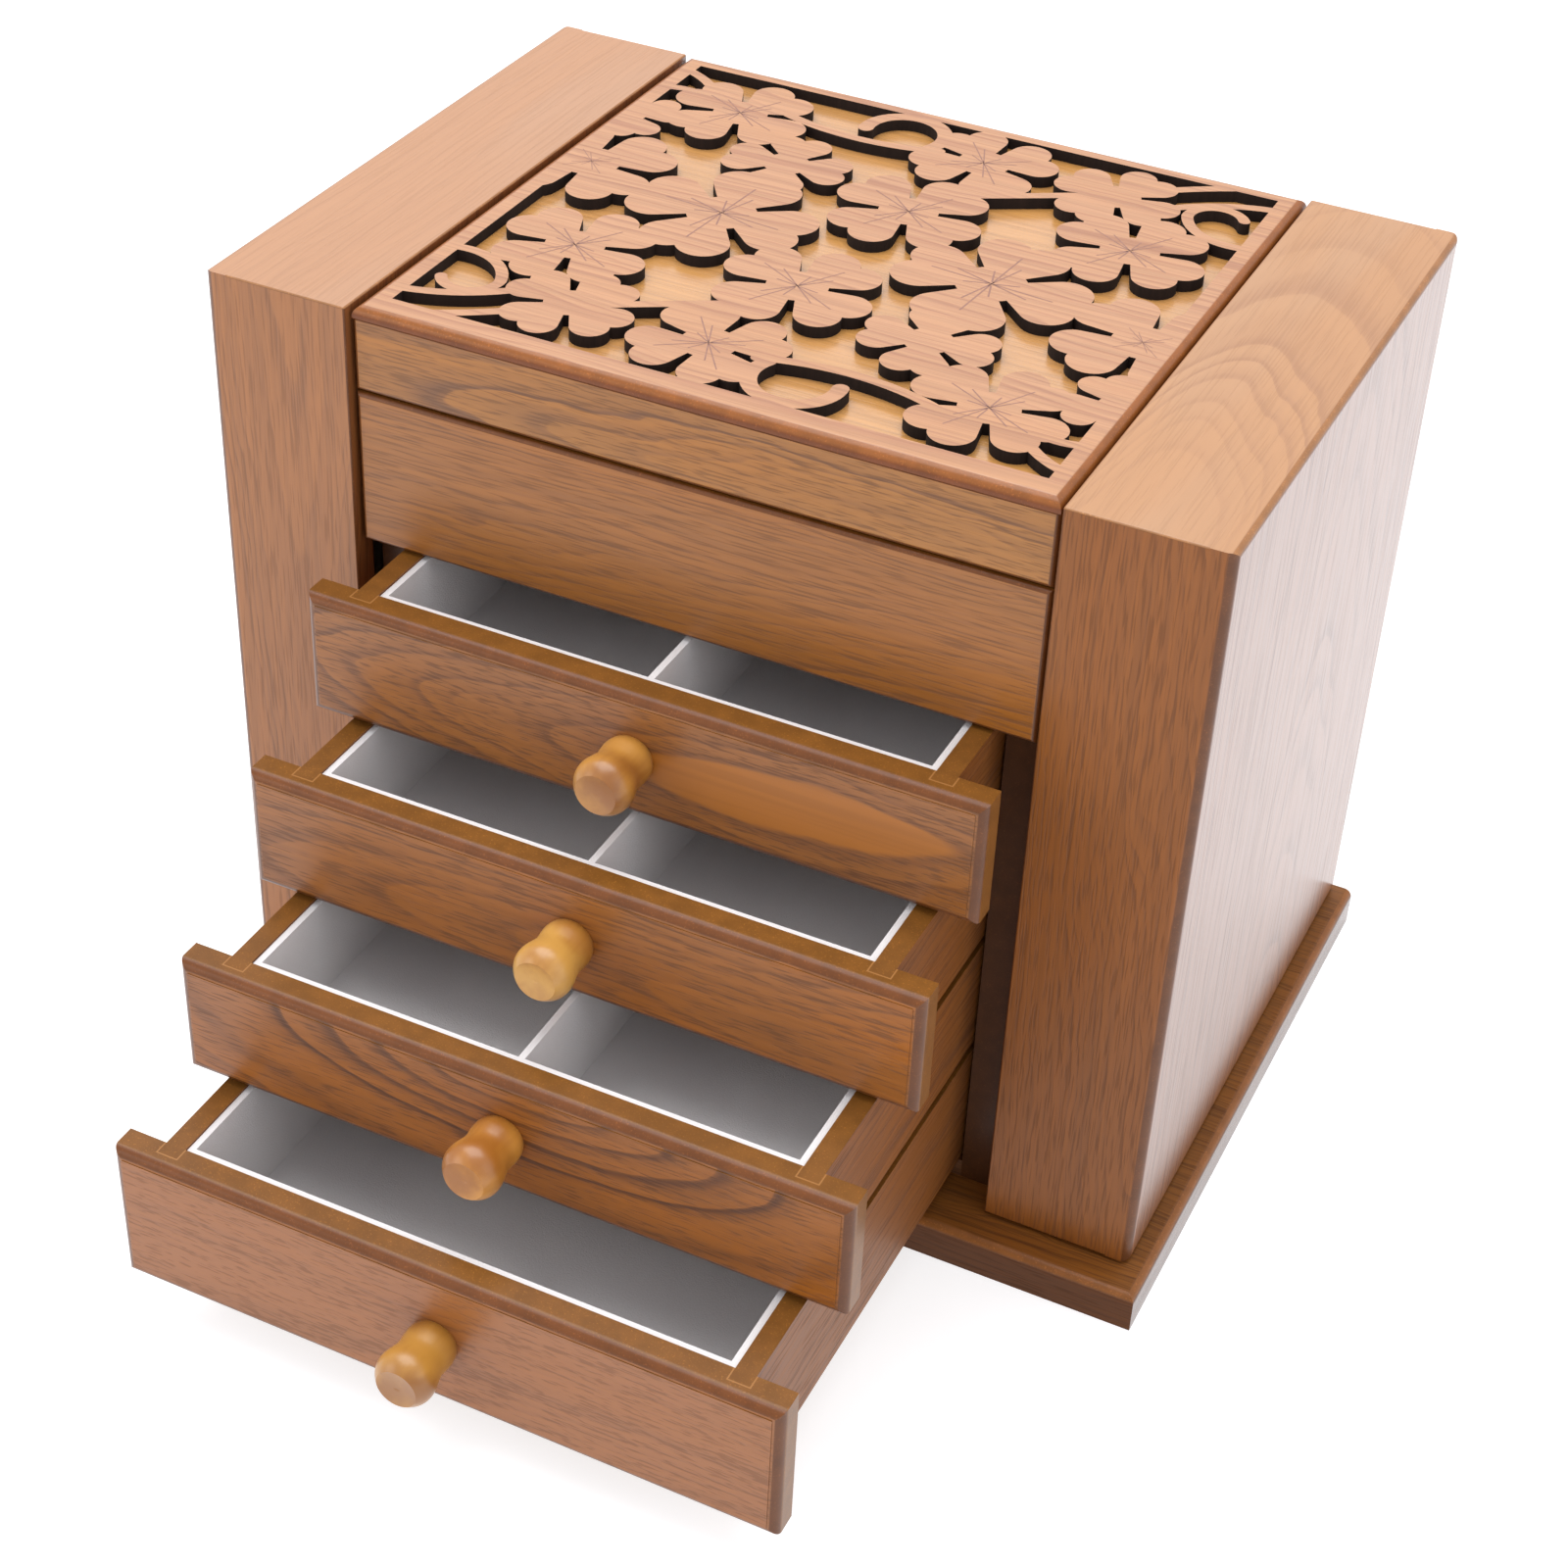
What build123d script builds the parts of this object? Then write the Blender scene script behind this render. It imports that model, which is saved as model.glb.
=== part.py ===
from build123d import *
import math
import os

os.makedirs("parts", exist_ok=True)

# Jewelry box with a hinged lid, four drawers and two swing-out side wings.
# Millimetres. X runs to the right, Y to the back, Z up. The origin is the middle
# of the plinth's underside. The drawers stand pulled out, as when the box is in use.

# Plinth
plinth_height = 12.5
plinth_side_overhang = 6.0
plinth_front_overhang = 11.0
plinth_back_overhang = 1.0
plinth_round = 2.8

# Whole body above the plinth
body_width = 290.0
body_depth = 195.0

# Cabinet between the wings
side_wall = 11.0
back_panel = 6.0
bottom_board = 6.0
front_setback = 2.0
tray_panel_height = 46.2
tray_panel_round = 1.5
tray_floor = 4.0
tray_columns = 2
tray_rows = 2
shelf_thickness = 2.4
shelf_housing = 3.0
shelf_setback = 8.0

# Wings
wing_width = 44.0
wing_gap = 1.0
wing_lift = 1.0
wing_board = 8.0
wing_panel = 7.0
wing_upright_round = 3.0
wing_level_round = 2.0
wing_arris = 0.6
wing_lining = 1.5
wing_lining_setback = 1.0
hook_rail_thickness = 8.0
hook_rail_height = 14.0
hook_rail_drop = 10.0
hook_count = 6
hook_wire_radius = 1.1
hook_reach = 10.0
hook_bend = 3.0
hook_tip = 3.0
hook_rose_radius = 3.0
hook_rose_thickness = 1.2

# Lid
lid_height = 24.8
lid_rail = 12.0
lid_round = 3.0
lid_edge_round = 1.5
lid_seam_bevel = 0.4
lid_panel = 3.0
lid_panel_ledge = 7.0
seam_gap = 0.6
mirror_thickness = 2.7
mirror_recess = 0.3
mirror_ledge = 4.0
glazing_gap = 0.2

# Fretwork sheet on the lid, pierced with four-leaf clovers and stems.
# The pattern keeps its proportions and is drawn as large as fits inside the borders,
# so its own sizes are shares of the pierced field's half width.
fretwork_thickness = 3.4
fretwork_side_border = 7.0
fretwork_front_border = 9.0
fretwork_back_border = 6.0
pattern_proportion = 0.957
stem_share = 0.0366
scroll_share = 0.0495
least_hole_share = 0.0014
hub_share = 0.36
leaf_count = 4
leaf_lobe_radius = 0.275
leaf_lobe_along = 0.70
leaf_lobe_across = 0.21

# Drawers, top to bottom
front_heights = (38.0, 38.0, 38.0, 46.2)
drawer_pulls = (30.2, 62.2, 99.6, 135.1)
liner_columns = (2, 2, 2, 1)
front_thickness = 9.0
front_round = 3.0
front_face_raise = 0.25
front_gap = 0.8
front_foot_gap = 1.0
front_end_gap = 0.4
front_seat_gap = 0.3
drawer_back_gap = 2.0
drawer_side = 6.0
drawer_back = 6.0
drawer_bottom = 3.0
drawer_side_gap = 1.0
drawer_rest_gap = 0.3
drawer_top_gap = 0.5
side_housing = 4.0

# White flocked liners
liner_wall = 1.9
liner_floor = 1.5
liner_drop = 0.6
liner_gap = 0.15

# Turned knobs and their screws
knob_base_radius = 6.7
knob_lobe_radius = 7.4
knob_lobe_at = 3.0
knob_neck_radius = 7.1
knob_neck_at = 7.4
knob_ball_radius = 8.3
knob_ball_at = 13.2
knob_shoulder_radius = 6.3
knob_shoulder_at = 18.8
knob_rim_radius = 5.9
knob_length = 19.2
knob_dish = 0.4
knob_screw_radius = 1.75
knob_screw_head_radius = 3.5
knob_screw_head_height = 1.8
knob_screw_grip = 12.0

# Butt hinges and their screws
hinge_length = 26.0
knuckle_count = 3
hinge_leaf_width = 12.0
hinge_leaf_thickness = 1.2
knuckle_radius = 2.25
knuckle_air = 0.3
knuckle_end_gap = 0.2
leaf_root_gap = 0.5
pin_radius = 1.0
pin_clearance = 0.05
pin_head_radius = 1.7
pin_head_height = 0.8
hinge_screw_radius = 1.0
hinge_screw_head_radius = 2.0
hinge_screw_head_height = 1.0
hinge_screw_length = 5.0
hinge_screw_spread = 7.0
hinge_screw_offset = 8.0
screw_clearance = 0.05
screw_slot_width = 0.5
screw_slot_depth = 0.4
lid_hinge_inset = 42.0
wing_hinge_inset = 42.0

# Heights worked up from the table
drawer_count = len(front_heights)
front_bottoms = [0.0] * drawer_count
front_tops = [0.0] * drawer_count
next_bottom = plinth_height + front_foot_gap
for number in reversed(range(drawer_count)):
    front_bottoms[number] = next_bottom
    front_tops[number] = next_bottom + front_heights[number]
    next_bottom = front_tops[number] + front_gap
panel_low = next_bottom
cabinet_top = panel_low + tray_panel_height
lid_low = cabinet_top + seam_gap
body_top = lid_low + lid_height
tray_floor_low = front_tops[0] + drawer_top_gap
tray_floor_high = tray_floor_low + tray_floor
shelf_lows = [top + drawer_top_gap for top in front_tops[1:]]
bottom_board_high = plinth_height + bottom_board
box_lows = [low + shelf_thickness + drawer_rest_gap for low in shelf_lows]
box_lows.append(bottom_board_high + drawer_rest_gap)

# Places from side to side
body_half = body_width / 2
wing_inner = body_half - wing_width
cabinet_half = wing_inner - wing_gap
wall_inner = cabinet_half - side_wall
box_half = wall_inner - drawer_side_gap
box_inner = box_half - drawer_side

# Places from front to back
plinth_depth = body_depth + plinth_front_overhang + plinth_back_overhang
wing_front = -plinth_depth / 2 + plinth_front_overhang
body_back = plinth_depth / 2 - plinth_back_overhang
face_y = wing_front + front_setback
cabinet_front = face_y + front_thickness + front_seat_gap
back_inner = body_back - back_panel
drawer_length = back_inner - drawer_back_gap - face_y - front_thickness
hinge_y = body_back + knuckle_radius + knuckle_air

nodes = {}


def block(x_low, x_high, y_low, y_high, z_low, z_high):
    """Square-edged board between two corners."""
    board = Box(x_high - x_low, y_high - y_low, z_high - z_low)
    middle = ((x_low + x_high) / 2, (y_low + y_high) / 2, (z_low + z_high) / 2)
    return Pos(*middle) * board


def group(pieces):
    """Separate solids kept side by side."""
    return Compound([solid for piece in pieces for solid in piece.solids()])


def round_front(board, radius):
    """Board with the edges of its front face rounded over."""
    return fillet(board.faces().sort_by(Axis.Y)[0].edges(), radius)


def prism(corners, plane, length):
    """Flat outline drawn out square to its plane."""
    return extrude(plane * Polygon(*corners, align=None), amount=length, dir=plane.z_dir)


def other_side(piece):
    """Left-hand copy of a right-hand piece."""
    return mirror(piece, about=Plane.YZ)


# Slotted countersunk screw, its head flush at height zero and its shank below
def slotted_screw(radius, head_radius, head_height, length):
    top = (Align.CENTER, Align.CENTER, Align.MAX)
    head = Cone(radius, head_radius, head_height, align=top)
    shank = Cylinder(radius, length, align=top)
    slot = Box(2 * head_radius, screw_slot_width, screw_slot_depth, align=top)
    return head + shank - slot


# Hole that such a screw drops into
def screw_hole(radius, head_radius, head_height, length):
    top = (Align.CENTER, Align.CENTER, Align.MAX)
    flare = screw_clearance * (head_radius - radius) / head_height
    head = Cone(radius + screw_clearance, head_radius + screw_clearance + flare, head_height, align=top)
    shank = Cylinder(radius + screw_clearance, length + screw_clearance, align=top)
    return head + shank


# Butt hinge about the local Z axis. The wood lies on the -Y side.
# The door's leaf spreads to +X and carries the middle knuckle.
mount_plane = -(knuckle_radius + knuckle_air)
leaf_face = mount_plane + hinge_leaf_thickness
leaf_root = knuckle_radius + leaf_root_gap
knuckle_length = hinge_length / knuckle_count
screw_total = hinge_leaf_thickness + hinge_screw_length
hinge_screw_sizes = (hinge_screw_radius, hinge_screw_head_radius, hinge_screw_head_height, screw_total)


def hinge_screw_places(side):
    seats = []
    for height in (-hinge_screw_spread, hinge_screw_spread):
        place = (side * hinge_screw_offset, leaf_face, height)
        seats.append(Plane(origin=place, x_dir=(1, 0, 0), z_dir=(0, 1, 0)).location)
    return seats


def hinge_leaf(side, knuckle_indexes):
    edges = sorted((side * leaf_root, side * hinge_leaf_width))
    leaf = block(edges[0], edges[1], mount_plane, leaf_face, -hinge_length / 2, hinge_length / 2)
    for index in knuckle_indexes:
        low = -hinge_length / 2 + index * knuckle_length + knuckle_end_gap / 2
        high = low + knuckle_length - knuckle_end_gap
        barrel = Pos(0, 0, (low + high) / 2) * Cylinder(knuckle_radius, high - low)
        reach = sorted((0.0, side * leaf_root))
        leaf += barrel + block(reach[0], reach[1], mount_plane, leaf_face, low, high)
    leaf -= Cylinder(pin_radius + pin_clearance, hinge_length)
    for seat in hinge_screw_places(side):
        leaf -= seat * screw_hole(*hinge_screw_sizes)
    return leaf


def hinge_pin():
    pin = Cylinder(pin_radius, hinge_length)
    head = Cylinder(pin_head_radius, pin_head_height, align=(Align.CENTER, Align.CENTER, Align.MIN))
    return pin + Pos(0, 0, hinge_length / 2) * head


def hinge_screws(side):
    return group([seat * slotted_screw(*hinge_screw_sizes) for seat in hinge_screw_places(side)])


def hinge_screw_holes(side):
    return [seat * screw_hole(*hinge_screw_sizes) for seat in hinge_screw_places(side)]


cabinet_leaf = hinge_leaf(-1, (0, 2))
door_leaf = hinge_leaf(1, (1,))

# Where the hinges stand: two on the lid's back edge, two behind each wing
lid_hinge_z = cabinet_top + seam_gap / 2
lid_hinge_places = []
lid_hinge_x = cabinet_half - lid_hinge_inset
for hinge_x in (-lid_hinge_x, lid_hinge_x):
    lid_plane = Plane(origin=(hinge_x, hinge_y, lid_hinge_z), x_dir=(0, 0, 1), z_dir=(-1, 0, 0))
    lid_hinge_places.append(lid_plane.location)
wing_hinge_x = wing_inner - wing_gap / 2
wing_low = plinth_height + wing_lift
wing_hinge_places = []
for hinge_z in (wing_low + wing_hinge_inset, body_top - wing_hinge_inset):
    wing_hinge_places.append(Pos(wing_hinge_x, hinge_y, hinge_z))


# Plinth: one board with its upper front and side edges rounded over
plinth_half = body_half + plinth_side_overhang
plinth = block(-plinth_half, plinth_half, -plinth_depth / 2, plinth_depth / 2, 0, plinth_height)
plinth_edges = plinth.faces().sort_by(Axis.Z)[-1].edges().sort_by(Axis.Y)[:-1]
nodes["plinth"] = fillet(plinth_edges, plinth_round)

# Cabinet: side walls with housings for the shelves, bottom, back and shelves
wall = block(wall_inner, cabinet_half, cabinet_front, body_back, plinth_height, cabinet_top)
shelf_half = wall_inner + shelf_housing
shelf_front = cabinet_front + shelf_setback
shelves = []
for shelf_low in shelf_lows:
    shelf_high = shelf_low + shelf_thickness
    shelf = block(-shelf_half, shelf_half, shelf_front, back_inner, shelf_low, shelf_high)
    shelves.append(shelf)
    wall -= shelf
for place in wing_hinge_places:
    for hole in hinge_screw_holes(-1):
        wall -= place * hole
nodes["cabinet_wall_right"] = wall
nodes["cabinet_wall_left"] = other_side(wall)
nodes["drawer_shelves"] = group(shelves)
nodes["cabinet_bottom"] = block(
    -wall_inner, wall_inner, cabinet_front, back_inner, plinth_height, bottom_board_high
)
back = block(-wall_inner, wall_inner, back_inner, body_back, plinth_height, cabinet_top)
for place in lid_hinge_places:
    for hole in hinge_screw_holes(-1):
        back -= place * hole
nodes["cabinet_back"] = back

# Top tray: fixed front panel, floor and lining
tray_panel = block(-cabinet_half, cabinet_half, face_y, cabinet_front, panel_low, cabinet_top)
nodes["tray_front_panel"] = round_front(tray_panel, tray_panel_round)
nodes["tray_floor"] = block(
    -wall_inner, wall_inner, cabinet_front, back_inner, tray_floor_low, tray_floor_high
)


# Lining: a shallow open tray split into a grid of compartments
def lining(x_half, y_low, y_high, z_low, z_high, columns, rows):
    cell_width = (2 * x_half - liner_wall * (columns + 1)) / columns
    cell_depth = (y_high - y_low - liner_wall * (rows + 1)) / rows
    tray = block(-x_half, x_half, y_low, y_high, z_low, z_high)
    for column in range(columns):
        for row in range(rows):
            cell_x = -x_half + liner_wall + column * (cell_width + liner_wall)
            cell_y = y_low + liner_wall + row * (cell_depth + liner_wall)
            tray -= block(
                cell_x, cell_x + cell_width, cell_y, cell_y + cell_depth, z_low + liner_floor, z_high
            )
    return tray


nodes["tray_lining"] = lining(
    wall_inner - liner_gap,
    cabinet_front + liner_gap,
    back_inner - liner_gap,
    tray_floor_high,
    cabinet_top - liner_drop,
    tray_columns,
    tray_rows,
)

# Hinge hardware that stays with the cabinet
nodes["lid_hinge_cabinet_leaves"] = group([place * cabinet_leaf for place in lid_hinge_places])
right_leaves = [place * cabinet_leaf for place in wing_hinge_places]
nodes["wing_hinge_cabinet_leaves"] = group(right_leaves + [other_side(leaf) for leaf in right_leaves])
right_pins = [place * hinge_pin() for place in wing_hinge_places]
lid_pins = [place * hinge_pin() for place in lid_hinge_places]
nodes["hinge_pins"] = group(lid_pins + right_pins + [other_side(pin) for pin in right_pins])
right_screws = [place * hinge_screws(-1) for place in wing_hinge_places]
lid_cabinet_screws = [place * hinge_screws(-1) for place in lid_hinge_places]
left_screws = [other_side(screws) for screws in right_screws]
nodes["cabinet_hinge_screws"] = group(lid_cabinet_screws + right_screws + left_screws)

# Wing: a mitred frame of four boards closed by an outer panel and lined inside.
# It opens towards the cabinet and swings on two hinges behind it.
wing_shoulder = body_half - wing_panel
wing_frame = block(wing_inner, wing_shoulder, wing_front, body_back, wing_low, body_top)
frame_edges = [edge for edge in wing_frame.edges() if edge.center().X < wing_shoulder]
wing_frame = fillet(frame_edges, wing_arris)
cavity = (wing_front + wing_board, body_back - wing_board, wing_low + wing_board, body_top - wing_board)
wing_frame -= block(wing_inner, wing_shoulder, *cavity)
for place in wing_hinge_places:
    for hole in hinge_screw_holes(1):
        wing_frame -= place * hole


def wing_mitre(corners):
    """The share of the wing's frame inside one mitred outline, given in Y and Z."""
    return wing_frame & prism(corners, Plane.YZ.offset(wing_inner), wing_shoulder - wing_inner)


outer_front_low = (wing_front, wing_low)
outer_front_high = (wing_front, body_top)
outer_back_low = (body_back, wing_low)
outer_back_high = (body_back, body_top)
inner_front_low = (cavity[0], cavity[2])
inner_front_high = (cavity[0], cavity[3])
inner_back_low = (cavity[1], cavity[2])
inner_back_high = (cavity[1], cavity[3])
wing_front_board = wing_mitre((outer_front_low, outer_front_high, inner_front_high, inner_front_low))
wing_back_board = wing_mitre((outer_back_low, inner_back_low, inner_back_high, outer_back_high))
wing_top_board = wing_mitre((outer_front_high, outer_back_high, inner_back_high, inner_front_high))
wing_foot_board = wing_mitre((outer_front_low, inner_front_low, inner_back_low, outer_back_low))

panel_blank = block(wing_shoulder, body_half, wing_front, body_back, wing_low, body_top)
panel_rim = panel_blank.faces().sort_by(Axis.X)[-1].edges()
outer_panel = fillet(panel_rim.filter_by(Axis.Z), wing_upright_round)
outer_panel &= fillet(panel_rim.filter_by(Axis.Y), wing_level_round)

wing_lining_shell = block(wing_inner + wing_lining_setback, wing_shoulder, *cavity)
hollow_low = (
    cavity[0] + wing_lining,
    cavity[1] - wing_lining,
    cavity[2] + wing_lining,
    cavity[3] - wing_lining,
)
wing_lining_shell -= block(wing_inner, wing_shoulder - wing_lining, *hollow_low)

rail_back = wing_shoulder - wing_lining
rail_face = rail_back - hook_rail_thickness
rail_high = hollow_low[3] - hook_rail_drop
rail_low = rail_high - hook_rail_height
hook_rail = block(rail_face, rail_back, hollow_low[0], hollow_low[1], rail_low, rail_high)

# Wire hook: a rose on the rail, a straight shank and an upturned tip
shank_end = rail_face - hook_reach
shank_z = rail_high - hook_rail_height / 2
hook_path = Line((rail_face, 0, shank_z), (shank_end, 0, shank_z))
bend_middle = math.sqrt(0.5) * hook_bend
hook_path += ThreePointArc(
    (shank_end, 0, shank_z),
    (shank_end - bend_middle, 0, shank_z + hook_bend - bend_middle),
    (shank_end - hook_bend, 0, shank_z + hook_bend),
)
hook_path += Line(
    (shank_end - hook_bend, 0, shank_z + hook_bend),
    (shank_end - hook_bend, 0, shank_z + hook_bend + hook_tip),
)
wire_start = Plane(origin=(rail_face, 0, shank_z), z_dir=(-1, 0, 0))
hook = sweep(wire_start * Circle(hook_wire_radius), path=hook_path)
hook += extrude(wire_start * Circle(hook_rose_radius), amount=hook_rose_thickness)
hook_pitch = (hollow_low[1] - hollow_low[0]) / hook_count
hooks = []
for number in range(hook_count):
    hooks.append(Pos(0, hollow_low[0] + (number + 0.5) * hook_pitch, 0) * hook)

right_wing = {
    "front": wing_front_board,
    "back": wing_back_board,
    "ends": group([wing_top_board, wing_foot_board]),
    "outer_panel": outer_panel,
    "lining": wing_lining_shell,
    "hook_rail": hook_rail,
    "hooks": group(hooks),
    "hinge_leaves": group([place * door_leaf for place in wing_hinge_places]),
    "hinge_screws": group([place * hinge_screws(1) for place in wing_hinge_places]),
}
for name, piece in right_wing.items():
    nodes[f"wing_right_{name}"] = piece
    nodes[f"wing_left_{name}"] = other_side(piece)

# Lid: mitred rails carrying a backing panel and the fretwork sheet, with a mirror below
lid_front = face_y
lid_back = body_back
lid_middle_y = (lid_front + lid_back) / 2
fretwork_low = body_top - fretwork_thickness
panel_z = fretwork_low - lid_panel
mirror_seat = lid_low + mirror_recess + mirror_thickness
opening_half = cabinet_half - lid_rail
lid_frame = block(-cabinet_half, cabinet_half, lid_front, lid_back, lid_low, fretwork_low)
lid_front_edges = lid_frame.faces().sort_by(Axis.Y)[0].edges().sort_by(Axis.Z)[:-1]
lid_frame = fillet(lid_front_edges, lid_edge_round)
lid_frame = chamfer(lid_frame.faces().sort_by(Axis.Z)[-1].edges(), lid_seam_bevel)
lid_hole = (lid_front + lid_rail, lid_back - lid_rail)
lid_frame -= block(-opening_half, opening_half, *lid_hole, lid_low, fretwork_low)
panel_half = opening_half + lid_panel_ledge
panel_span = (lid_hole[0] - lid_panel_ledge, lid_hole[1] + lid_panel_ledge)
lid_frame -= block(-panel_half, panel_half, *panel_span, panel_z, fretwork_low)
glass_half = opening_half + mirror_ledge
glass_span = (lid_hole[0] - mirror_ledge, lid_hole[1] + mirror_ledge)
lid_frame -= block(-glass_half, glass_half, *glass_span, lid_low, mirror_seat)
for place in lid_hinge_places:
    for hole in hinge_screw_holes(1):
        lid_frame -= place * hole


def lid_mitre(corners):
    """The share of the lid's frame inside one mitred outline, given in X and Y."""
    return lid_frame & prism(corners, Plane.XY.offset(lid_low), fretwork_low - lid_low)


front_left = (-cabinet_half, lid_front)
front_right = (cabinet_half, lid_front)
back_left = (-cabinet_half, lid_back)
back_right = (cabinet_half, lid_back)
hole_front_left = (-opening_half, lid_hole[0])
hole_front_right = (opening_half, lid_hole[0])
hole_back_left = (-opening_half, lid_hole[1])
hole_back_right = (opening_half, lid_hole[1])
nodes["lid_front_rail"] = lid_mitre((front_left, front_right, hole_front_right, hole_front_left))
nodes["lid_back_rail"] = lid_mitre((back_left, hole_back_left, hole_back_right, back_right))
lid_side_rail = lid_mitre((front_right, back_right, hole_back_right, hole_front_right))
nodes["lid_side_rails"] = group([lid_side_rail, other_side(lid_side_rail)])
nodes["lid_panel"] = block(
    -panel_half + glazing_gap,
    panel_half - glazing_gap,
    panel_span[0] + glazing_gap,
    panel_span[1] - glazing_gap,
    panel_z,
    fretwork_low,
)
nodes["lid_mirror"] = block(
    -glass_half + glazing_gap,
    glass_half - glazing_gap,
    glass_span[0] + glazing_gap,
    glass_span[1] - glazing_gap,
    lid_low + mirror_recess,
    mirror_seat,
)
nodes["lid_hinge_leaves"] = group([place * door_leaf for place in lid_hinge_places])
nodes["lid_hinge_screws"] = group([place * hinge_screws(1) for place in lid_hinge_places])

# Fretwork. Places are shares of the half width and half length of the pierced field.
# Half of the pattern is drawn, and half a turn about the middle gives the rest.
field_front = lid_front + fretwork_front_border
field_back = lid_back - fretwork_back_border
room_across = cabinet_half - fretwork_side_border
room_along = (field_back - field_front) / 2 / pattern_proportion
field_x = min(room_across, room_along)
field_y = field_x * pattern_proportion


def field_point(across, along):
    """Point of the pierced field, from its middle."""
    return (across * field_x, along * field_y)


def clover_leaf(length):
    """Heart-shaped leaf that points along X from the clover's middle."""
    along = leaf_lobe_along * length
    across = leaf_lobe_across * length
    lobe = leaf_lobe_radius * length
    reach = math.hypot(along, across)
    slope = math.atan2(across, along) + math.asin(lobe / reach)
    tangent = math.sqrt(reach ** 2 - lobe ** 2)
    shoulder = (tangent * math.cos(slope), tangent * math.sin(slope))
    notch = (along + math.sqrt(lobe ** 2 - across ** 2), 0)
    turn_start = slope + math.pi / 2
    turn_end = math.atan2(-across, notch[0] - along)
    turn_middle = (turn_start + turn_end) / 2
    crown = (along + lobe * math.cos(turn_middle), across + lobe * math.sin(turn_middle))
    upper = Line((0, 0), shoulder) + ThreePointArc(shoulder, crown, notch)
    lower = mirror(upper, about=Plane.XZ)
    return make_face(upper + lower)


def clover(across, along, turn, size):
    """Four leaves about a hub. The size is a share of the field's half width."""
    length = size * field_x
    flower = Circle(hub_share * length)
    leaf = clover_leaf(length)
    for number in range(leaf_count):
        flower += Rot(0, 0, turn + 360 * number / leaf_count) * leaf
    return Pos(*field_point(across, along)) * flower


def stem(start, middle, end, width):
    """Curved band of even width through three points of the field."""
    arc = ThreePointArc(field_point(*start), field_point(*middle), field_point(*end))
    return SlotArc(arc, width * field_x)


half_pattern = [
    clover(-0.72, 0.72, 62, 0.245),
    clover(-0.425, 0.44, 97, 0.205),
    clover(0.04, 0.32, 60, 0.255),
    clover(-0.444, 0.01, 85, 0.30),
    clover(-0.72, -0.417, 60, 0.25),
    clover(-0.555, -0.76, 67, 0.21),
    clover(-0.105, -0.775, 35, 0.235),
    clover(-0.96, 0.133, 45, 0.27),
    clover(-1.03, 0.53, 35, 0.18),
    stem((-0.58, 0.79), (-0.32, 0.737), (-0.05, 0.785), stem_share),
    stem((-0.325, 0.83), (-0.225, 0.985), (-0.085, 0.79), scroll_share),
    stem((-1.03, 0.95), (-0.95, 0.91), (-0.86, 0.82), stem_share),
    stem((-1.03, 0.78), (-0.95, 0.80), (-0.86, 0.77), stem_share),
    stem((-1.04, -0.62), (-0.87, -0.635), (-0.79, -0.745), stem_share),
    stem((-0.79, -0.745), (-0.85, -0.845), (-0.955, -0.80), stem_share),
    stem((-1.04, -0.93), (-0.86, -0.87), (-0.70, -0.74), stem_share),
    stem((-0.88, -1.03), (-0.74, -0.94), (-0.62, -0.84), stem_share),
    stem((-0.45, -0.71), (-0.28, -0.60), (-0.12, -0.50), stem_share),
]
pattern = Sketch()
for figure in half_pattern:
    pattern += figure
    pattern += Rot(0, 0, 180) * figure
field = Rectangle(2 * field_x, 2 * field_y)
sheet_outline = Rectangle(2 * cabinet_half, lid_back - lid_front)
least_hole = least_hole_share * field_x ** 2
holes = [hole for hole in (field - pattern).faces() if hole.area > least_hole]
sheet = extrude(Pos(0, lid_middle_y, fretwork_low) * sheet_outline, amount=fretwork_thickness)
sheet_edges = sheet.faces().sort_by(Axis.Z)[-1].edges()
sheet = fillet(sheet_edges, lid_round)
field_place = Pos(0, (field_front + field_back) / 2, fretwork_low)
for hole in holes:
    sheet -= extrude(field_place * hole, amount=fretwork_thickness)
nodes["lid_fretwork"] = sheet


# Drawers
def knob():
    """Turned knob about the Y axis, its base at zero and its face towards -Y."""
    side = Spline(
        (knob_base_radius, 0),
        (knob_lobe_radius, -knob_lobe_at),
        (knob_neck_radius, -knob_neck_at),
        (knob_ball_radius, -knob_ball_at),
        (knob_shoulder_radius, -knob_shoulder_at),
    )
    rim = Line((knob_shoulder_radius, -knob_shoulder_at), (knob_rim_radius, -knob_length))
    dish = ThreePointArc(
        (knob_rim_radius, -knob_length), (0, knob_dish - knob_length), (-knob_rim_radius, -knob_length)
    )
    half_dish = split(dish, bisect_by=Plane.YZ)
    back = Polyline((0, knob_dish - knob_length), (0, 0), (knob_base_radius, 0))
    outline = side + rim + half_dish + back
    turned = revolve(make_face(outline), Axis.Y)
    seat = Plane(origin=(0, 0, 0), x_dir=(1, 0, 0), z_dir=(0, -1, 0))
    bore = seat * Circle(knob_screw_radius + screw_clearance)
    return turned - extrude(bore, amount=knob_screw_grip + screw_clearance)


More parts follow.
